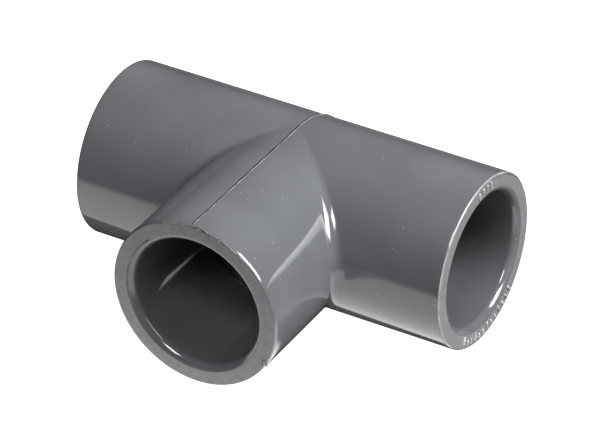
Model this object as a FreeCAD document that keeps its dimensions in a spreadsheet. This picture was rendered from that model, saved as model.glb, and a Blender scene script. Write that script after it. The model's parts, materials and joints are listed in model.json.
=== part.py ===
import FreeCAD, Part
import os
import Sketcher

# Equal tee for 3/4 inch solvent-weld pipe, moulded in one piece in grey PVC-U.
# Lengths are in millimetres. The run lies along X, the branch points along -Y and +Z is up.
# The body is modelled about the point where the axes cross, then placed so that the tee rests
# on Z = 0 with the frame's origin under the middle of its box.

NODE = "tee_body"

# Alias, value and meaning of each driving dimension.
DIMENSIONS = (
    ("run_radius", 17.5, "outside radius of the run"),
    ("run_reach", 39.8, "axes' crossing to each end face of the run"),
    ("branch_root_radius", 17.45, "outside radius of the branch at the axes' crossing"),
    ("branch_end_radius", 17.6, "outside radius of the branch at its end face"),
    ("branch_reach", 39.2, "axes' crossing to the end face of the branch"),
    ("crotch_radius", 2.5, "fillet between branch and run"),
    ("rim_radius", 0.7, "rounding of the outer edge of each end face"),
    ("socket_radius", 13.36, "socket wall, the mean of its slight draft"),
    ("socket_depth", 25.4, "end face to the stop"),
    ("waterway_radius", 12.4, "bore behind the stops"),
    ("mouth_radius", 1.5, "rounding of the lip at each mouth"),
)

FULL_TURN = 360

# How close an edge's radius and place have to be to count as a match, in millimetres.
MATCH = 0.001


def make_sheet(document):
    """Put the driving dimensions in a spreadsheet, one aliased cell each."""
    sheet = document.addObject("Spreadsheet::Sheet", "dimensions")
    for row, (alias, value, meaning) in enumerate(DIMENSIONS, start=1):
        sheet.set(f"A{row}", meaning)
        sheet.set(f"B{row}", str(value))
        sheet.setAlias(f"B{row}", alias)
    document.recompute()
    return sheet


def attach_sketch(body, name, role):
    """Add an empty sketch on one of the body's origin planes."""
    sketch = body.newObject("Sketcher::SketchObject", name)
    plane = next(feature for feature in body.Origin.OriginFeatures if feature.Role == role)
    sketch.AttachmentSupport = [(plane, "")]
    sketch.MapMode = "FlatFace"
    return sketch


def circle_sketch(body, name, role, radius):
    """Sketch a circle about the origin; radius is an alias in the sheet."""
    sketch = attach_sketch(body, name, role)
    size = body.Document.dimensions.get(radius)
    centre = FreeCAD.Vector(0, 0, 0)
    circle = sketch.addGeometry(Part.Circle(centre, FreeCAD.Vector(0, 0, 1), size), False)
    sketch.addConstraint(Sketcher.Constraint("Coincident", circle, 3, -1, 1))
    ring = sketch.addConstraint(Sketcher.Constraint("Radius", circle, size))
    sketch.setExpression(f"Constraints[{ring}]", f"dimensions.{radius}")
    return sketch


def pin_corner(sketch, line, kind, amount, formula):
    """Hold the start of a line at a signed distance from the sketch's origin."""
    corner = (line, 1)
    root = (-1, 1)
    if amount == 0:
        axis = -2 if kind == "DistanceX" else -1
        sketch.addConstraint(Sketcher.Constraint("PointOnObject", *corner, axis))
        return
    ends = root + corner if amount > 0 else corner + root
    place = sketch.addConstraint(Sketcher.Constraint(kind, *ends, abs(amount)))
    sketch.setExpression(f"Constraints[{place}]", formula)


def outline_sketch(body, name, role, corners, flip):
    """Sketch a closed outline.

    Each corner is (along, out): formulas for the distance along the turning axis and away from
    it. They become the sketch's x and y, or with flip its -y and x, for an axis along -Y.
    """
    sketch = attach_sketch(body, name, role)
    sizes = [[body.evalExpression(formula) for formula in corner] for corner in corners]
    points = [(out, -along) if flip else (along, out) for along, out in sizes]
    for index, point in enumerate(points):
        after = points[(index + 1) % len(points)]
        segment = Part.LineSegment(FreeCAD.Vector(*point, 0), FreeCAD.Vector(*after, 0))
        sketch.addGeometry(segment, False)
    for index in range(len(points)):
        following = (index + 1) % len(points)
        sketch.addConstraint(Sketcher.Constraint("Coincident", index, 2, following, 1))
    for index, (across, up) in enumerate(points):
        along, out = corners[index]
        pin_corner(sketch, index, "DistanceX", across, out if flip else along)
        pin_corner(sketch, index, "DistanceY", up, along if flip else out)
    return sketch


def turn(body, kind, name, sketch, axis):
    """Turn a sketch once round one of its axes, to add or remove material."""
    feature = body.newObject(kind, name)
    feature.Profile = sketch
    feature.ReferenceAxis = (sketch, [axis])
    feature.Angle = FULL_TURN
    return feature


def round_edges(body, name, base, wanted, radius):
    """Fillet the edges of the base feature that the wanted test picks."""
    names = [f"Edge{index}" for index, edge in enumerate(base.Shape.Edges, start=1) if wanted(edge)]
    fillet = body.newObject("PartDesign::Fillet", name)
    fillet.Base = (base, names)
    fillet.setExpression("Radius", f"dimensions.{radius}")
    body.Document.recompute()
    return fillet


def is_end_circle(*circles):
    """Make a test for circular edges. Each circle is (radius, distance from the axes' crossing)."""
    def wanted(edge):
        if edge.Curve.TypeId != "Part::GeomCircle":
            return False
        found = (edge.Curve.Radius, edge.Curve.Center.Length)
        return any(max(abs(a - b) for a, b in zip(found, circle)) < MATCH for circle in circles)
    return wanted


def is_crotch(edge):
    """The line where branch and run meet is the only edge that isn't a line or a circle."""
    return edge.Curve.TypeId == "Part::GeomBSplineCurve"


def bore_corners(reach):
    """Half section of the bore of one arm: its socket, the stop and the waterway."""
    stop = f"dimensions.{reach} - dimensions.socket_depth"
    return (
        ("0", "0"),
        (f"dimensions.{reach}", "0"),
        (f"dimensions.{reach}", "dimensions.socket_radius"),
        (stop, "dimensions.socket_radius"),
        (stop, "dimensions.waterway_radius"),
        ("0", "dimensions.waterway_radius"),
    )


def add_outside(body):
    """The run and the branch, blended at the crotch, with rounded outer rims."""
    run_section = circle_sketch(body, "run_section", "YZ_Plane", "run_radius")
    run = body.newObject("PartDesign::Pad", "run_outside")
    run.Profile = run_section
    run.SideType = "Symmetric"
    run.setExpression("Length", "2 * dimensions.run_reach")

    branch_corners = (
        ("0", "0"),
        ("0", "dimensions.branch_root_radius"),
        ("dimensions.branch_reach", "dimensions.branch_end_radius"),
        ("dimensions.branch_reach", "0"),
    )
    branch_profile = outline_sketch(body, "branch_profile", "XY_Plane", branch_corners, True)
    kind = "PartDesign::Revolution"
    branch = turn(body, kind, "branch_outside", branch_profile, "V_Axis")
    body.Document.recompute()

    crotch = round_edges(body, "crotch_fillet", branch, is_crotch, "crotch_radius")
    sizes = body.Document.dimensions
    run_rim = (sizes.run_radius, sizes.run_reach)
    branch_rim = (sizes.branch_end_radius, sizes.branch_reach)
    rims = is_end_circle(run_rim, branch_rim)
    return round_edges(body, "rim_rounding", crotch, rims, "rim_radius")


def add_bores(body):
    """The three sockets and the waterways that join them, with rounded mouths."""
    run_profile = outline_sketch(body, "run_bore_profile", "XY_Plane", bore_corners("run_reach"), False)
    run_bore = turn(body, "PartDesign::Groove", "run_bore", run_profile, "H_Axis")
    body.Document.recompute()

    mirror = body.newObject("PartDesign::Mirrored", "run_bore_mirrored")
    middle = next(item for item in body.Origin.OriginFeatures if item.Role == "YZ_Plane")
    mirror.Originals = [run_bore]
    mirror.MirrorPlane = (middle, [""])
    body.Tip = mirror
    body.Document.recompute()

    branch_corners = bore_corners("branch_reach")
    branch_profile = outline_sketch(body, "branch_bore_profile", "XY_Plane", branch_corners, True)
    branch_bore = turn(body, "PartDesign::Groove", "branch_bore", branch_profile, "V_Axis")
    body.Document.recompute()

    sizes = body.Document.dimensions
    run_mouth = (sizes.socket_radius, sizes.run_reach)
    branch_mouth = (sizes.socket_radius, sizes.branch_reach)
    mouths = is_end_circle(run_mouth, branch_mouth)
    return round_edges(body, "mouth_rounding", branch_bore, mouths, "mouth_radius")


def check(document, body):
    """Stop if any feature failed, or if the body isn't one valid solid."""
    for item in document.Objects:
        if "Invalid" in item.State or "Error" in item.State:
            raise RuntimeError(f"{item.Name} failed: {item.State}")
    if body.Shape.isNull() or not body.Shape.isValid() or len(body.Shape.Solids) != 1:
        raise RuntimeError(f"{body.Label} isn't one valid solid")


def check_each_cut(body):
    """Stop if a groove or its mirror image removed nothing."""
    cuts = ("PartDesign::Groove", "PartDesign::Mirrored")
    solids = [item for item in body.Group if item.isDerivedFrom("PartDesign::Feature")]
    for before, after in zip(solids, solids[1:]):
        if after.TypeId in cuts and after.Shape.Volume >= before.Shape.Volume:
            raise RuntimeError(f"{after.Name} removed nothing")


def main():
    document = FreeCAD.newDocument("tee_fitting")
    make_sheet(document)

    body = document.addObject("PartDesign::Body", NODE)
    body.Label = NODE
    half_depth = "(dimensions.branch_reach - dimensions.run_radius) / 2"
    body.setExpression(".Placement.Base.y", half_depth)
    body.setExpression(".Placement.Base.z", "dimensions.branch_end_radius")

    add_outside(body)
    add_bores(body)
    document.recompute()
    check(document, body)
    check_each_cut(body)

    os.makedirs("parts", exist_ok=True)
    body.Shape.exportStep(os.path.join("parts", f"{body.Label}.step"))
    print(f"{body.Label}: {body.Shape.Volume:.1f} mm3, {body.Shape.BoundBox}")


main()
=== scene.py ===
import json
import math

import bmesh
import bpy
import numpy as np
from mathutils import Matrix, Vector


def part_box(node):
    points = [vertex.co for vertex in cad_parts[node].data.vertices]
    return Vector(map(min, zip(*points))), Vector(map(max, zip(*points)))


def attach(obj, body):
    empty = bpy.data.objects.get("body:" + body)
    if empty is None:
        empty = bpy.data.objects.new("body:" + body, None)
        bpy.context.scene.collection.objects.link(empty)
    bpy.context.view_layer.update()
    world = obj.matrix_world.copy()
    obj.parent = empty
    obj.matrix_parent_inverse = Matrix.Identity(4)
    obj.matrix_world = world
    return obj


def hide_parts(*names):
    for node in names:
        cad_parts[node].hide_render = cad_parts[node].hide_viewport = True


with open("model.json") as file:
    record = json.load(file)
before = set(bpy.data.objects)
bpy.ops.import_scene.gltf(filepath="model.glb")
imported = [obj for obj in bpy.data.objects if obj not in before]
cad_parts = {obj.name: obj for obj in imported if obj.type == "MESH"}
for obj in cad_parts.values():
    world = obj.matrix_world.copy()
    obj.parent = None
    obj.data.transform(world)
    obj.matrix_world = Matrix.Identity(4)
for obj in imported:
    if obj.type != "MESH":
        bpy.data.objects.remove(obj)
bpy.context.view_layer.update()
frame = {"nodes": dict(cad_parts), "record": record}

MM = 0.001
NODE = "tee_body"

# ---------------------------------------------------------------- the frame's sizes, in metres
MOUNTS = {mount["name"]: mount for mount in frame["record"]["mounts"]}
LOW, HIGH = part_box(NODE)
CROSSING = Vector((0, MOUNTS["run_socket_right"]["pos_m"][1], MOUNTS["run_socket_right"]["pos_m"][2]))
RUN_RADIUS = HIGH.y - CROSSING.y
RUN_REACH = HIGH.x
BRANCH_REACH = CROSSING.y - LOW.y
SOCKET_RADIUS = MOUNTS["branch_socket"]["dims"]["r_mm"] * MM

# Sizes that the frame doesn't state. At each arm's end the outer wall curves in with a crown: its
# radius, and how far round it goes in degrees.
BRANCH_ROOT_RADIUS = 17.45 * MM
BRANCH_END_RADIUS = 17.6 * MM
SOCKET_DEPTH = 25.4 * MM
WATERWAY_RADIUS = 12.4 * MM
RUN_CROWN = (0.5 * MM, 60)
BRANCH_CROWN = (1.6 * MM, 30)
EDGE_ROUNDING = 0.15 * MM
FLATNESS = 0.005 * MM
# Width of the band of painted highlight along the run's outer edges.
EDGE_HIGHLIGHT_WIDTH = 0.25 * MM
MOUTH_ROUNDING = 1.5 * MM
STOP_ROUNDING = 0.3 * MM
INNER_ROUNDING = 0.5 * MM

# Fillet radius of the crotch at angles up the side of the branch, from its underside to its top.
CROTCH_ANGLES = (-90, -35, 0, 35, 90)
CROTCH_RADII = (1.0 * MM, 1.6 * MM, 2.4 * MM, 2.5 * MM, 2.5 * MM)

# The camera: angles in degrees, with azimuth 0 at the front and 90 at the right. The aim is from
# the crossing.
CAMERA_AZIMUTH = 30.62
CAMERA_ELEVATION = 33.90
CAMERA_ROLL = -0.36
CAMERA_AIM = RUN_RADIUS * Vector((0.050, -0.105, -0.172))
CAMERA_DISTANCE = 50.68 * RUN_RADIUS
CAMERA_LENS = 278.45
CAMERA_SENSOR = 36
CAMERA_NEAREST = 0.01
CAMERA_FURTHEST = 10
VIEW_GAMMA = 0.8

# Softboxes: azimuth, elevation, the width and height that they cover, all in degrees, and brightness.
KEY_SOFTBOX = (97, 41, 36, 45, 26)
FRONT_SOFTBOX = (13, 50, 30, 25, 19)
BACK_SOFTBOX = (205, 15, 60, 26, 8)
LIGHT_DISTANCE = 0.7
LIGHT_FADE_START = 0.25

# The floor, and the walls: where they are brightest, how that spreads, and their levels.
DISC_SEGMENTS = 128
FLOOR_RADIUS = 30 * RUN_RADIUS
FLOOR_DROP = 0.2 * MM
FLOOR_TINT = 0.3
FLOOR_GLOW = 1
MATT_ROUGHNESS = 0.8
WALL_GLOW = (-140, 65)
WALL_SPREAD = (0.1, 1)
WALL_LEVELS = (0.001, 0.2)

# The card that lights the tee from below: how bright it is, and where it fades, from the crossing.
# Its glow is a painted shadow of the tee, dim under and behind it, and it also dips a little below
# the run's left half as painted shade.
CARD_RADIUS = 20 * RUN_RADIUS
CARD_DROP = 20 * MM
CARD_GLOW = 2.2
CARD_SHADOW_DIM = 0.02
CARD_FRONT = (-130 * MM, -82 * MM)
CARD_BACK = (-10.5 * MM, -7 * MM)
CARD_BACK_SLOPE = 0.21
CARD_BACK_END = (44 * MM, 60 * MM)
CARD_BACK_GLOW = 0.22
CARD_FAR_BACK = (50 * MM, 110 * MM)
CARD_FAR_GLOW = 0.1
CARD_LEFT = (-200 * MM, -130 * MM)
CARD_RIGHT = (62 * MM, 120 * MM)
CARD_DIP = 0.25
CARD_DIP_ACROSS = (-45 * MM, -10 * MM)
CARD_DIP_ALONG = (-48 * MM, -20 * MM)
CARD_TINT = 0.02

# Section of a thin ridge: across it, as shares of half its width, and up, as shares of its height.
# One side is steep, and the other slopes.
RIDGE_SECTION = ((-0.6, -1), (-0.4, 0.7), (-0.1, 1), (0.1, 0.6), (1.1, 0.05), (1.2, -1), (-0.6, -1))

# The flash along the mould's parting plane. Its height is a base with nicks and swells, and it's
# lower where the tee lies on it. Spacings are in steps along it. A face whose normal leans left by
# more than FLANK_LEAN is on its flank, which is painted dark as shade.
FLASH_WIDTH = 0.5 * MM
FLASH_WIDTHS = (0.7, 0.6)
FLASH_WIDTH_SPACING = 5
FLASH_HEIGHT = 0.22 * MM
FLASH_BASE = 0.4
FLASH_NICKS = 0.6
FLASH_NICK_SPACING = 3
FLASH_SWELLS = 0.4
FLASH_SWELL_SPACING = 11
FLASH_UNDERSIDE = -0.7 * RUN_RADIUS
FLASH_UNDERSIDE_SHARE = 0.3
FLASH_WANDER = 0.12 * MM
FLASH_WANDER_SPACING = 9
FLASH_STEP = 0.35 * MM
FLANK_LEAN = 0.15

# Burrs on the end faces' edges: each has its first and last angle, radius, reach, whether it's on
# the run, width, height and seed. Heights and widths are a base share and a share that varies.
BURR_LEAN = math.radians(25)
BURR_STEP = 0.9
BURR_HEIGHTS = (0.15, 1.4)
BURR_WIDTHS = (0.6, 0.8)
BURRS = (
    (-30, -2, 17.3 * MM, BRANCH_REACH, False, 0.30 * MM, 0.20 * MM, 21),
    (-2, 26, 17.3 * MM, BRANCH_REACH, False, 0.45 * MM, 0.75 * MM, 26),
    (26, 44, 17.3 * MM, BRANCH_REACH, False, 0.30 * MM, 0.12 * MM, 23),
    (113, 121, 17.3 * MM, BRANCH_REACH, False, 0.55 * MM, 0.75 * MM, 33),
    (-104, -38, 14.7 * MM, BRANCH_REACH - 0.03 * MM, False, 0.45 * MM, 0.10 * MM, 51),
    (-6, 50, 17.25 * MM, RUN_REACH, True, 0.30 * MM, 0.07 * MM, 45),
)

# Rows of plain ticks on the run's right end face: first angle, last angle, how many.
TICK_ROWS = ((82, 98, 4), (-118, -50, 13))
TICK_OUTER = 16.8 * MM
TICK_LENGTHS = (2.0 * MM, 1.3 * MM, 1.3 * MM)
TICK_WIDTH = 0.62 * MM
TICK_HEIGHT = 0.34 * MM
TICK_SOFTNESS = 0.8
TICK_AROUND = 17
TICK_UP = 9

# The plastic: its mottle and grain, and the specks on it, with how many cells a metre and their
# size in a cell.
PVC_IOR = 1.54
MOTTLE_DETAIL = 4
MOTTLE_SPAN = (0.35, 0.65)
GRAIN_SCALE = 900
GRAIN_DETAIL = 3
GRAIN_DEPTH = 0.1 * MM
SPECK_SCALE = 380
SPECK_SIZE = 0.055
SPECK_TINT = (0.30, 0.31, 0.32)

# How finely the shell is divided.
FRONT_STEPS = 96
BACK_STEPS = 72
RUN_STEPS = 24
FILLET_STEPS = 12
BRANCH_STEPS = 24
CROWN_STEPS = 8
EDGE_STEPS = 6
FACE_POINTS = 4
MOUTH_STEPS = 14
WALL_POINTS = 12
STOP_STEPS = 5
ROUNDING_MARGIN = 0.12 * MM
BALL_PASSES = 8
WELD_DISTANCE = 0.002 * MM
SLIVER_LENGTH = 0.001 * MM


# ---------------------------------------------------------------- the moulded shell
def crotch_radius(angles):
    return np.interp(np.degrees(angles), CROTCH_ANGLES, CROTCH_RADII)


def inner_radius(angles):
    return np.full_like(angles, INNER_ROUNDING)


def outer_saddle():
    """The outer walls' saddle; the branch widens a little towards its end."""
    slope = (BRANCH_END_RADIUS - BRANCH_ROOT_RADIUS) / BRANCH_REACH
    return Saddle(RUN_RADIUS, BRANCH_ROOT_RADIUS, slope, crotch_radius)


class Saddle:
    """Where a cylinder along the run and one along the branch blend in a fillet.

    Lines are indexed by their angle up the right side of the branch. Positions are about the
    axes' crossing. A rolling ball touches both walls at each angle.
    """

    def __init__(self, run_radius, root_radius, slope, fillet):
        self.run_radius = run_radius
        self.root_radius = root_radius
        self.slope = slope
        self.angles = np.linspace(-math.pi / 2, math.pi / 2, FRONT_STEPS + 1)
        ball = fillet(self.angles)
        tilt = math.atan(slope)
        along = np.full_like(ball, run_radius)
        for _ in range(BALL_PASSES):
            touch = root_radius + slope * along
            out = touch + ball * math.cos(tilt)
            height = out * np.sin(self.angles)
            centre_along = np.sqrt(np.maximum((run_radius + ball) ** 2 - height ** 2, 0))
            along = centre_along + ball * math.sin(tilt)
        self.along = along
        self.ball = ball
        self.centre = np.stack([out * np.cos(self.angles), -centre_along, height], axis=1)
        share = run_radius / (run_radius + ball)
        self.on_run = self.centre * np.stack([np.ones_like(share), share, share], axis=1)
        self.on_branch = np.stack(
            [touch * np.cos(self.angles), -along, touch * np.sin(self.angles)], axis=1)
        self.run_angles = np.arctan2(self.on_run[:, 2], -self.on_run[:, 1])

    def fillet(self):
        """Points round the fillet, from the run to the branch: (lines, steps + 1, 3)."""
        first = (self.on_run - self.centre) / self.ball[:, None]
        last = (self.on_branch - self.centre) / self.ball[:, None]
        turn = np.arccos(np.clip((first * last).sum(1), -1, 1))
        turn = np.maximum(turn, 1e-6)
        rows = []
        for share in np.linspace(0, 1, FILLET_STEPS + 1):
            mix = (np.sin((1 - share) * turn) / np.sin(turn))[:, None] * first
            mix = mix + (np.sin(share * turn) / np.sin(turn))[:, None] * last
            rows.append(self.centre + mix * self.ball[:, None])
        return np.stack(rows, axis=1)

    def front(self, run_end, branch_end):
        """The front of the right half, from the run's end over the fillet to the branch's end."""
        to_run = np.linspace(0, 1, RUN_STEPS + 1)[None, :, None]
        start = self.on_run.copy()
        start[:, 0] = run_end
        run = start[:, None, :] * (1 - to_run) + self.on_run[:, None, :] * to_run
        to_end = np.linspace(0, 1, BRANCH_STEPS + 1)[None, :, None]
        end_radius = self.root_radius + self.slope * branch_end
        end = np.stack([end_radius * np.cos(self.angles), np.full_like(self.angles, -branch_end),
                        end_radius * np.sin(self.angles)], axis=1)
        branch = self.on_branch[:, None, :] * (1 - to_end) + end[:, None, :] * to_end
        return np.concatenate([run, self.fillet()[:, 1:], branch[:, 1:]], axis=1)

    def back(self, run_end):
        """The back of the right half of the run, from the top over the back to the underside."""
        angles = self.back_angles()
        places = np.linspace(run_end, 0, RUN_STEPS + 1)
        x, angle = np.meshgrid(places, angles)
        return np.stack([x, -self.run_radius * np.cos(angle), self.run_radius * np.sin(angle)], axis=2)

    def back_angles(self):
        return np.linspace(self.run_angles[-1], 2 * math.pi + self.run_angles[0], BACK_STEPS + 1)

    def ring_angles(self):
        """Angles of all the lines round the run, once round."""
        return np.concatenate([self.run_angles, self.back_angles()[1:]])


def arc(centre_along, centre_out, radius, start, end, steps):
    """Profile points round an arc: (distance along the axis, distance out from it)."""
    angles = np.radians(np.linspace(start, end, steps + 1))
    return [(centre_along + radius * math.cos(a), centre_out + radius * math.sin(a)) for a in angles]


def arm_profile(reach, outside, crown_radius, crown_turn):
    """Profile of one arm's end, from its outer wall round the rim and mouth to the waterway.

    The wall curves in a little before the face, and meets it at a crisp edge.
    """
    stop = reach - SOCKET_DEPTH
    face_in = SOCKET_RADIUS + MOUTH_ROUNDING
    lean = math.radians(90 - crown_turn)
    crown_out = outside - crown_radius
    edge_out = crown_out + (crown_radius - EDGE_ROUNDING) * math.sin(lean)
    crown_along = reach - EDGE_ROUNDING - (crown_radius - EDGE_ROUNDING) * math.cos(lean)
    points = arc(crown_along, crown_out, crown_radius, 90, 90 - crown_turn, CROWN_STEPS)
    points += arc(reach - EDGE_ROUNDING, edge_out, EDGE_ROUNDING, 90 - crown_turn, 0, EDGE_STEPS)[1:]
    face_outs = np.linspace(edge_out - ROUNDING_MARGIN, face_in + ROUNDING_MARGIN, FACE_POINTS)
    points += [(reach, out) for out in face_outs]
    points += arc(reach - MOUTH_ROUNDING, face_in, MOUTH_ROUNDING, 0, -90, MOUTH_STEPS)
    wall_in = stop + STOP_ROUNDING
    wall_alongs = np.linspace(reach - MOUTH_ROUNDING - ROUNDING_MARGIN, wall_in + ROUNDING_MARGIN,
                              WALL_POINTS)
    points += [(along, SOCKET_RADIUS) for along in wall_alongs]
    points += arc(wall_in, SOCKET_RADIUS - STOP_ROUNDING, STOP_ROUNDING, 90, 180, STOP_STEPS)
    points += arc(stop - STOP_ROUNDING, WATERWAY_RADIUS + STOP_ROUNDING, STOP_ROUNDING, 0, -90,
                  STOP_STEPS)
    return points


def run_rings(profile, first_angles, last_angles):
    """Turn a profile round the run's axis; the angles shift from one set to the other."""
    rings = []
    for share, (along, out) in zip(np.linspace(0, 1, len(profile)), profile):
        angles = first_angles * (1 - share) + last_angles * share
        x = np.full_like(angles, along)
        rings.append(np.stack([x, -out * np.cos(angles), out * np.sin(angles)], axis=1))
    return np.stack(rings)


def branch_rings(profile, angles):
    """Turn a profile round the branch's axis."""
    around = np.concatenate([angles, math.pi - angles[::-1][1:]])
    rings = []
    for along, out in profile:
        y = np.full_like(around, -along)
        rings.append(np.stack([out * np.cos(around), y, out * np.sin(around)], axis=1))
    return np.stack(rings)


def mirrored(grid):
    return grid * np.array([-1, 1, 1])


def add_grid(shell, grid):
    """Add a grid of points to a mesh as a sheet of quads."""
    rows, columns, _ = grid.shape
    verts = [[shell.verts.new(point) for point in row] for row in grid]
    for i in range(rows - 1):
        for j in range(columns - 1):
            shell.faces.new((verts[i][j], verts[i + 1][j], verts[i + 1][j + 1], verts[i][j + 1]))


def close_up(shell):
    """Weld the sheets of a mesh together and turn its faces outwards."""
    bmesh.ops.remove_doubles(shell, verts=shell.verts, dist=WELD_DISTANCE)
    bmesh.ops.dissolve_degenerate(shell, edges=shell.edges, dist=SLIVER_LENGTH)
    bmesh.ops.recalc_face_normals(shell, faces=shell.faces)


def build_shell():
    """The whole tee as one closed mesh about the axes' crossing."""
    outside = outer_saddle()
    inside = Saddle(WATERWAY_RADIUS, WATERWAY_RADIUS, 0, inner_radius)

    run_profile = arm_profile(RUN_REACH, RUN_RADIUS, *RUN_CROWN)
    branch_profile = arm_profile(BRANCH_REACH, BRANCH_END_RADIUS, *BRANCH_CROWN)
    run_stop = run_profile[-1][0]
    branch_stop = branch_profile[-1][0]

    shell = bmesh.new()
    sheets = [
        outside.front(run_profile[0][0], branch_profile[0][0]),
        outside.back(run_profile[0][0]),
        inside.front(run_stop, branch_stop),
        inside.back(run_stop),
        run_rings(run_profile, outside.ring_angles(), inside.ring_angles()),
    ]
    for sheet in sheets:
        add_grid(shell, sheet)
        add_grid(shell, mirrored(sheet))
    add_grid(shell, branch_rings(branch_profile, outside.angles))

    close_up(shell)
    for face in shell.faces:
        face.material_index = material_place(face)
    return shell


def material_place(face):
    """0 for the glossy walls, 1 for the three flat ends, and 2 for a painted highlight on the run's
    edges.
    """
    middle = face.calc_center_median()
    from_run_end = RUN_REACH - abs(middle.x)
    if min(from_run_end, BRANCH_REACH + middle.y) < FLATNESS:
        return 1
    outside = math.hypot(middle.y, middle.z) > SOCKET_RADIUS + MOUTH_ROUNDING
    return 2 if from_run_end < EDGE_HIGHLIGHT_WIDTH and outside else 0


# ---------------------------------------------------------------- flash, burrs and ticks
def uneven(count, spacing, seed):
    """A smooth random line of values between 0 and 1, with a turn every spacing steps."""
    knots = np.random.default_rng(seed).random(count // spacing + 2)
    return np.interp(np.arange(count) / spacing, np.arange(len(knots)), knots)


def resampled(path, spacing):
    """The same path with evenly spaced points."""
    lengths = np.linalg.norm(np.diff(path, axis=0), axis=1)
    places = np.concatenate([[0], np.cumsum(lengths)])
    wanted = np.linspace(0, places[-1], int(places[-1] / spacing))
    return np.stack([np.interp(wanted, places, path[:, axis]) for axis in range(3)], axis=1)


def add_ridge(shell, path, outward, widths, heights):
    """Add a thin closed ridge along a path; outward is the wall's normal at each point.

    Negative widths mirror the ridge's section.
    """
    tangents = np.gradient(path, axis=0)
    tangents /= np.linalg.norm(tangents, axis=1)[:, None]
    across = np.cross(outward, tangents)
    ends = np.minimum(1, np.minimum(np.arange(len(path)), np.arange(len(path))[::-1]) / 2)
    half = (ends * widths / 2)[:, None]
    tall = (ends * heights)[:, None]
    rows = [path + across * half * side + outward * tall * up for side, up in RIDGE_SECTION]
    add_grid(shell, np.stack(rows, axis=1))


def build_flash():
    """The flash that the mould's parting plane leaves right round the tee, where x is 0.

    Its left flank takes the second material, a painted shade.
    """
    outside = outer_saddle()
    front = outside.front(0, BRANCH_REACH - FLASH_HEIGHT)[:, RUN_STEPS:]
    back = outside.back(0)[1:-1, 0]
    path = resampled(np.concatenate([front[-1][::-1], back, front[0]]), FLASH_STEP)
    path[:, 0] = 0
    tangents = np.gradient(path, axis=0)
    outward = np.cross([1, 0, 0], tangents / np.linalg.norm(tangents, axis=1)[:, None])
    count = len(path)
    nicks = FLASH_NICKS * uneven(count, FLASH_NICK_SPACING, seed=1) ** 2
    swells = FLASH_SWELLS * uneven(count, FLASH_SWELL_SPACING, seed=2)
    heights = FLASH_HEIGHT * (FLASH_BASE + nicks + swells)
    heights *= np.where(path[:, 2] < FLASH_UNDERSIDE, FLASH_UNDERSIDE_SHARE, 1)
    path[:, 0] += FLASH_WANDER * (uneven(count, FLASH_WANDER_SPACING, seed=3) - 0.5)
    narrowest, spread = FLASH_WIDTHS
    widths = FLASH_WIDTH * (narrowest + spread * uneven(count, FLASH_WIDTH_SPACING, seed=4))
    flash = bmesh.new()
    add_ridge(flash, path, outward, widths, heights)
    close_up(flash)
    for face in flash.faces:
        # Faces leaning left, away from the key light, take the painted shade.
        face.material_index = int(face.normal.x < -FLANK_LEAN)
    return flash


def end_ring(radius, angles, reach, is_run):
    """Points round an edge of an end face, and the directions in which burrs stand out from it.

    Angles go from the top towards the back on the run's right end, and towards the right on the
    branch's end.
    """
    sides = np.radians(angles)
    zero = np.zeros_like(sides)
    if is_run:
        radial = np.stack([zero, np.sin(sides), np.cos(sides)], axis=1)
        axis = np.array([1.0, 0, 0])
    else:
        radial = np.stack([np.sin(sides), zero, np.cos(sides)], axis=1)
        axis = np.array([0, -1.0, 0])
    return radial * radius + axis * reach, radial * math.cos(BURR_LEAN) + axis * math.sin(BURR_LEAN)


def build_burrs():
    """Ragged bits of plastic left on edges of the branch's end and the run's right end."""
    burrs = bmesh.new()
    for start, end, radius, reach, is_run, width, height, seed in BURRS:
        angles = np.linspace(start, end, int(abs(end - start) / BURR_STEP))
        path, outward = end_ring(radius, angles, reach, is_run)
        count = len(angles)
        heights = height * (BURR_HEIGHTS[0] + BURR_HEIGHTS[1] * uneven(count, 2, seed) ** 3)
        widths = width * (BURR_WIDTHS[0] + BURR_WIDTHS[1] * uneven(count, 3, seed + 1))
        add_ridge(burrs, path, outward, -widths, heights)
    close_up(burrs)
    return burrs


def rounded_bar(half_sizes, axes, centre):
    """Grid of points round a bar with soft edges, its half sizes along three axes."""
    around, up = np.meshgrid(np.linspace(-math.pi, math.pi, TICK_AROUND),
                             np.linspace(-1, 1, TICK_UP) * math.pi / 2)

    def soften(values):
        return np.sign(values) * np.abs(values) ** TICK_SOFTNESS

    level = soften(np.cos(up))
    shape = np.stack([level * soften(np.cos(around)), level * soften(np.sin(around)),
                      soften(np.sin(up))], axis=2)
    return centre + (shape * np.array(half_sizes)) @ np.array(axes)


def build_ticks():
    """Plain raised ticks on the run's right end face, short and long in turn."""
    ticks = bmesh.new()
    for start, end, count in TICK_ROWS:
        for index, angle in enumerate(np.radians(np.linspace(start, end, count))):
            radial = np.array([0, math.cos(angle), math.sin(angle)])
            side = np.array([0, -math.sin(angle), math.cos(angle)])
            length = TICK_LENGTHS[index % len(TICK_LENGTHS)]
            centre = radial * (TICK_OUTER - length / 2) + np.array([RUN_REACH, 0, 0])
            half_sizes = (length / 2, TICK_WIDTH / 2, TICK_HEIGHT)
            add_grid(ticks, rounded_bar(half_sizes, (radial, side, (1, 0, 0)), centre))
    close_up(ticks)
    return ticks


def add_piece(name, shell, *materials):
    """Make a mesh object from a bmesh about the crossing, riding on the tee."""
    mesh = bpy.data.meshes.new(name)
    shell.transform(Matrix.Translation(CROSSING))
    shell.to_mesh(mesh)
    shell.free()
    for polygon in mesh.polygons:
        polygon.use_smooth = True
    for material in materials:
        mesh.materials.append(material)
    piece = bpy.data.objects.new(name, mesh)
    bpy.context.scene.collection.objects.link(piece)
    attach(piece, "root")
    return piece


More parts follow.
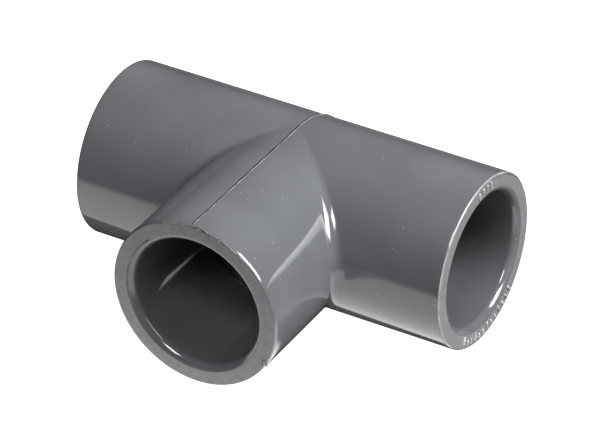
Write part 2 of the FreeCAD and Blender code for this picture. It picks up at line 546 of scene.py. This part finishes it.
# ---------------------------------------------------------------- materials
def noise(tree, scale, detail):
    """Add object-space noise. Returns its value, 0 to 1."""
    place = tree.nodes.new("ShaderNodeTexCoord")
    node = tree.nodes.new("ShaderNodeTexNoise")
    node.inputs["Scale"].default_value = scale
    node.inputs["Detail"].default_value = detail
    tree.links.new(place.outputs["Object"], node.inputs["Vector"])
    return node.outputs["Fac"]


def speckled(tree, colour, speck_colour, scale, size):
    """Mix sparse round specks into a colour socket. Returns the mixed colour."""
    place = tree.nodes.new("ShaderNodeTexCoord")
    cells = tree.nodes.new("ShaderNodeTexVoronoi")
    cells.inputs["Scale"].default_value = scale
    tree.links.new(place.outputs["Object"], cells.inputs["Vector"])
    mix = tree.nodes.new("ShaderNodeMix")
    mix.data_type = "RGBA"
    mix.inputs["B"].default_value = (*speck_colour, 1)
    share = smooth_step(tree, cells.outputs["Distance"], size / 2, size, 1, 0)
    tree.links.new(share, mix.inputs["Factor"])
    tree.links.new(colour, mix.inputs["A"])
    return mix.outputs["Result"]


def pvc_material(name, dark, light, gloss_range, mottle_scale=60, grain=0.04, speck=None):
    """Moulded PVC: a faint mottle in colour and gloss, fine grain, and specks of dust."""
    material = bpy.data.materials.new(name)
    material.use_nodes = True
    tree = material.node_tree
    shader = tree.nodes["Principled BSDF"]
    shader.inputs["IOR"].default_value = PVC_IOR

    mottle = noise(tree, mottle_scale, MOTTLE_DETAIL)
    tint = tree.nodes.new("ShaderNodeValToRGB")
    for element, shade, position in zip(tint.color_ramp.elements, (dark, light), MOTTLE_SPAN):
        element.color = (*shade, 1)
        element.position = position
    tree.links.new(mottle, tint.inputs["Fac"])
    colour = tint.outputs["Color"]
    if speck:
        colour = speckled(tree, colour, speck, SPECK_SCALE, SPECK_SIZE)
    tree.links.new(colour, shader.inputs["Base Color"])

    gloss = tree.nodes.new("ShaderNodeMapRange")
    gloss.inputs["To Min"].default_value = gloss_range[0]
    gloss.inputs["To Max"].default_value = gloss_range[1]
    tree.links.new(mottle, gloss.inputs["Value"])
    tree.links.new(gloss.outputs["Result"], shader.inputs["Roughness"])

    bump = tree.nodes.new("ShaderNodeBump")
    bump.inputs["Strength"].default_value = grain
    bump.inputs["Distance"].default_value = GRAIN_DEPTH
    tree.links.new(noise(tree, GRAIN_SCALE, GRAIN_DETAIL), bump.inputs["Height"])
    tree.links.new(bump.outputs["Normal"], shader.inputs["Normal"])
    return material


def matt_material(name, brightness, glow):
    """A grey without any gloss, that also gives out an even white light."""
    material = bpy.data.materials.new(name)
    material.use_nodes = True
    shader = material.node_tree.nodes["Principled BSDF"]
    shader.inputs["Base Color"].default_value = (brightness, brightness, brightness, 1)
    shader.inputs["Roughness"].default_value = MATT_ROUGHNESS
    shader.inputs["Specular IOR Level"].default_value = 0
    shader.inputs["Emission Color"].default_value = (1, 1, 1, 1)
    shader.inputs["Emission Strength"].default_value = glow
    return material


def maths(tree, operation, first, second=0.0):
    """Add a maths node; either input is a socket or a number. Returns its output."""
    node = tree.nodes.new("ShaderNodeMath")
    node.operation = operation
    for socket, value in zip(node.inputs, (first, second)):
        if isinstance(value, bpy.types.NodeSocket):
            tree.links.new(value, socket)
        else:
            socket.default_value = value
    return node.outputs["Value"]


def smooth_step(tree, value, start, end, first, last):
    """Add a node that goes smoothly from first to last while the value goes from start to end."""
    node = tree.nodes.new("ShaderNodeMapRange")
    node.interpolation_type = "SMOOTHSTEP"
    for name, level in (("From Min", start), ("From Max", end), ("To Min", first), ("To Max", last)):
        node.inputs[name].default_value = level
    tree.links.new(value, node.inputs["Value"])
    return node.outputs["Result"]


def card_material():
    """Bright in front of the run; dim behind it and softer at its left end, as painted shadow."""
    material = matt_material("pale_card", CARD_TINT, 0)
    tree = material.node_tree
    place = tree.nodes.new("ShaderNodeTexCoord")
    split = tree.nodes.new("ShaderNodeSeparateXYZ")
    tree.links.new(place.outputs["Object"], split.inputs["Vector"])
    across = split.outputs["X"]
    along = split.outputs["Y"]
    past_edge = maths(tree, "SUBTRACT", along, maths(tree, "MULTIPLY", across, CARD_BACK_SLOPE))
    # Painted shadow of the tee: past a slanted edge under and behind it, the glow falls low.
    behind = smooth_step(tree, past_edge, *CARD_BACK, 1, CARD_SHADOW_DIM)
    beyond = smooth_step(tree, across, *CARD_BACK_END, 0, CARD_BACK_GLOW)
    far_back = smooth_step(tree, along, *CARD_FAR_BACK, 0, CARD_FAR_GLOW)
    # Painted shade: a small dip in the glow below the run's left half.
    leftward = smooth_step(tree, across, *CARD_DIP_ACROSS, CARD_DIP, 0)
    near = smooth_step(tree, along, *CARD_DIP_ALONG, 0, 1)
    shares = (
        smooth_step(tree, along, *CARD_FRONT, 0, 1),
        maths(tree, "MAXIMUM", behind, maths(tree, "MAXIMUM", beyond, far_back)),
        smooth_step(tree, across, *CARD_LEFT, 0, 1),
        smooth_step(tree, across, *CARD_RIGHT, 1, 0),
        maths(tree, "SUBTRACT", 1.0, maths(tree, "MULTIPLY", leftward, near)),
    )
    glow = CARD_GLOW
    for share in shares:
        glow = maths(tree, "MULTIPLY", share, glow)
    tree.links.new(glow, tree.nodes["Principled BSDF"].inputs["Emission Strength"])
    return material


# ---------------------------------------------------------------- floor, lights and camera
def add_disc(name, radius, drop, material):
    """A flat disc under the tee, a little below where it rests."""
    shell = bmesh.new()
    bmesh.ops.create_circle(shell, cap_ends=True, radius=radius,
                            segments=DISC_SEGMENTS)
    mesh = bpy.data.meshes.new(name)
    shell.to_mesh(mesh)
    shell.free()
    mesh.materials.append(material)
    disc = bpy.data.objects.new(name, mesh)
    disc.location = (0, CROSSING.y, -drop)
    bpy.context.scene.collection.objects.link(disc)
    return disc


def add_floor():
    """A white floor that only the camera sees, and a pale card below it that lights the tee."""
    white = matt_material("white_floor", FLOOR_TINT, FLOOR_GLOW)
    floor = add_disc("floor", FLOOR_RADIUS, FLOOR_DROP, white)
    floor.visible_diffuse = False
    floor.visible_glossy = False
    card = add_disc("bounce_card", CARD_RADIUS, CARD_DROP, card_material())
    card.visible_camera = False


def direction(azimuth, elevation):
    """Unit vector towards a place seen from the tee: azimuth 0 is the front, 90 the right."""
    a = math.radians(azimuth)
    e = math.radians(elevation)
    return Vector((math.sin(a) * math.cos(e), -math.cos(a) * math.cos(e), math.sin(e)))


def fade_edges(light):
    """Make a rectangular light brightest in its middle half, fading out towards its edges."""
    light.use_nodes = True
    tree = light.node_tree
    geometry = tree.nodes.new("ShaderNodeNewGeometry")
    split = tree.nodes.new("ShaderNodeSeparateXYZ")
    tree.links.new(geometry.outputs["Parametric"], split.inputs["Vector"])
    level = 1.0
    for place in (split.outputs["X"], split.outputs["Y"]):
        from_middle = maths(tree, "ABSOLUTE", maths(tree, "SUBTRACT", place, 0.5))
        level = maths(tree, "MULTIPLY",
                      smooth_step(tree, from_middle, LIGHT_FADE_START, 0.5, 1, 0), level)
    tree.links.new(level, tree.nodes["Emission"].inputs["Strength"])


def add_softbox(name, azimuth, elevation, wide, high, brightness):
    """A softbox facing the tee; wide and high are the angles it covers, in degrees."""
    light = bpy.data.lights.new(name, "AREA")
    light.shape = "RECTANGLE"
    light.size = 2 * LIGHT_DISTANCE * math.tan(math.radians(wide / 2))
    light.size_y = 2 * LIGHT_DISTANCE * math.tan(math.radians(high / 2))
    light.energy = math.pi * light.size * light.size_y * brightness
    fade_edges(light)
    box = bpy.data.objects.new(name, light)
    towards = direction(azimuth, elevation)
    box.location = CROSSING + LIGHT_DISTANCE * towards
    box.rotation_euler = towards.to_track_quat("Z", "Y").to_euler()
    bpy.context.scene.collection.objects.link(box)
    return box


def add_world():
    """Dim studio walls, lighter above and behind on the left, that the camera sees as white."""
    world = bpy.data.worlds.new("studio")
    world.use_nodes = True
    tree = world.node_tree
    nodes = tree.nodes
    place = nodes.new("ShaderNodeTexCoord")
    glow = nodes.new("ShaderNodeVectorMath")
    glow.operation = "DOT_PRODUCT"
    glow.inputs[1].default_value = direction(*WALL_GLOW)
    tree.links.new(place.outputs["Generated"], glow.inputs[0])
    level = smooth_step(tree, glow.outputs["Value"], *WALL_SPREAD, *WALL_LEVELS)
    seen = nodes.new("ShaderNodeLightPath").outputs["Is Camera Ray"]
    nodes["Background"].inputs["Color"].default_value = (1, 1, 1, 1)
    tree.links.new(maths(tree, "MAXIMUM", level, seen), nodes["Background"].inputs["Strength"])
    bpy.context.scene.world = world


def add_camera():
    """A long lens, far away."""
    data = bpy.data.cameras.new("camera")
    data.lens = CAMERA_LENS
    data.sensor_width = CAMERA_SENSOR
    data.clip_start = CAMERA_NEAREST
    data.clip_end = CAMERA_FURTHEST
    camera = bpy.data.objects.new("camera", data)
    towards = direction(CAMERA_AZIMUTH, CAMERA_ELEVATION)
    camera.location = CROSSING + CAMERA_AIM + CAMERA_DISTANCE * towards
    roll = Matrix.Rotation(math.radians(CAMERA_ROLL), 3, "Z")
    turn = towards.to_track_quat("Z", "Y").to_matrix() @ roll
    camera.rotation_euler = turn.to_euler()
    bpy.context.scene.collection.objects.link(camera)
    bpy.context.scene.camera = camera


# ---------------------------------------------------------------- the scene
pvc = pvc_material("moulded_pvc", (0.109, 0.112, 0.119), (0.124, 0.128, 0.136), (0.05, 0.08),
                   speck=SPECK_TINT)
end_pvc = pvc_material("end_face_pvc", (0.150, 0.155, 0.157), (0.182, 0.187, 0.189), (0.30, 0.42),
                       mottle_scale=900, grain=0.25, speck=SPECK_TINT)
# Painted highlight: a paler band along the run's outer edges.
edge_highlight_pvc = pvc_material("edge_painted_highlight_pvc", (0.17, 0.175, 0.18), (0.27, 0.275, 0.28), (0.15, 0.3),
                        mottle_scale=300)
# Paler than the walls: partly the whitening of thin flash, partly a painted highlight on flash and
# burrs.
flash_pvc = pvc_material("flash_pvc", (0.10, 0.10, 0.10), (0.23, 0.23, 0.225), (0.12, 0.25),
                         mottle_scale=500)
# Painted shade: near black, for the flash's left flank on its side away from the key light.
flank_painted_shade_pvc = pvc_material("flash_flank_painted_shade", (0.015, 0.015, 0.016), (0.04, 0.04, 0.042), (0.6, 0.8),
                         mottle_scale=500)
# Painted highlight: the ticks are paler than the walls so that they read as glinting.
tick_painted_glint_pvc = pvc_material("tick_painted_glint_pvc", (0.20, 0.204, 0.21), (0.34, 0.345, 0.35), (0.05, 0.10),
                        mottle_scale=400)
skin = add_piece("moulded_tee", build_shell(), pvc, end_pvc, edge_highlight_pvc)
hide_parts(NODE)
add_piece("parting_flash", build_flash(), flash_pvc, flank_painted_shade_pvc)
add_piece("rim_burrs", build_burrs(), flash_pvc)
add_piece("end_face_ticks", build_ticks(), tick_painted_glint_pvc)
frame["nodes"][NODE].data.materials.clear()
frame["nodes"][NODE].data.materials.append(pvc)

add_floor()
add_softbox("key_softbox", *KEY_SOFTBOX)
add_softbox("front_softbox", *FRONT_SOFTBOX)
back_softbox = add_softbox("back_softbox", *BACK_SOFTBOX)
back_softbox.visible_glossy = False
add_world()
add_camera()
bpy.context.scene.view_settings.view_transform = "Standard"
bpy.context.scene.view_settings.gamma = VIEW_GAMMA
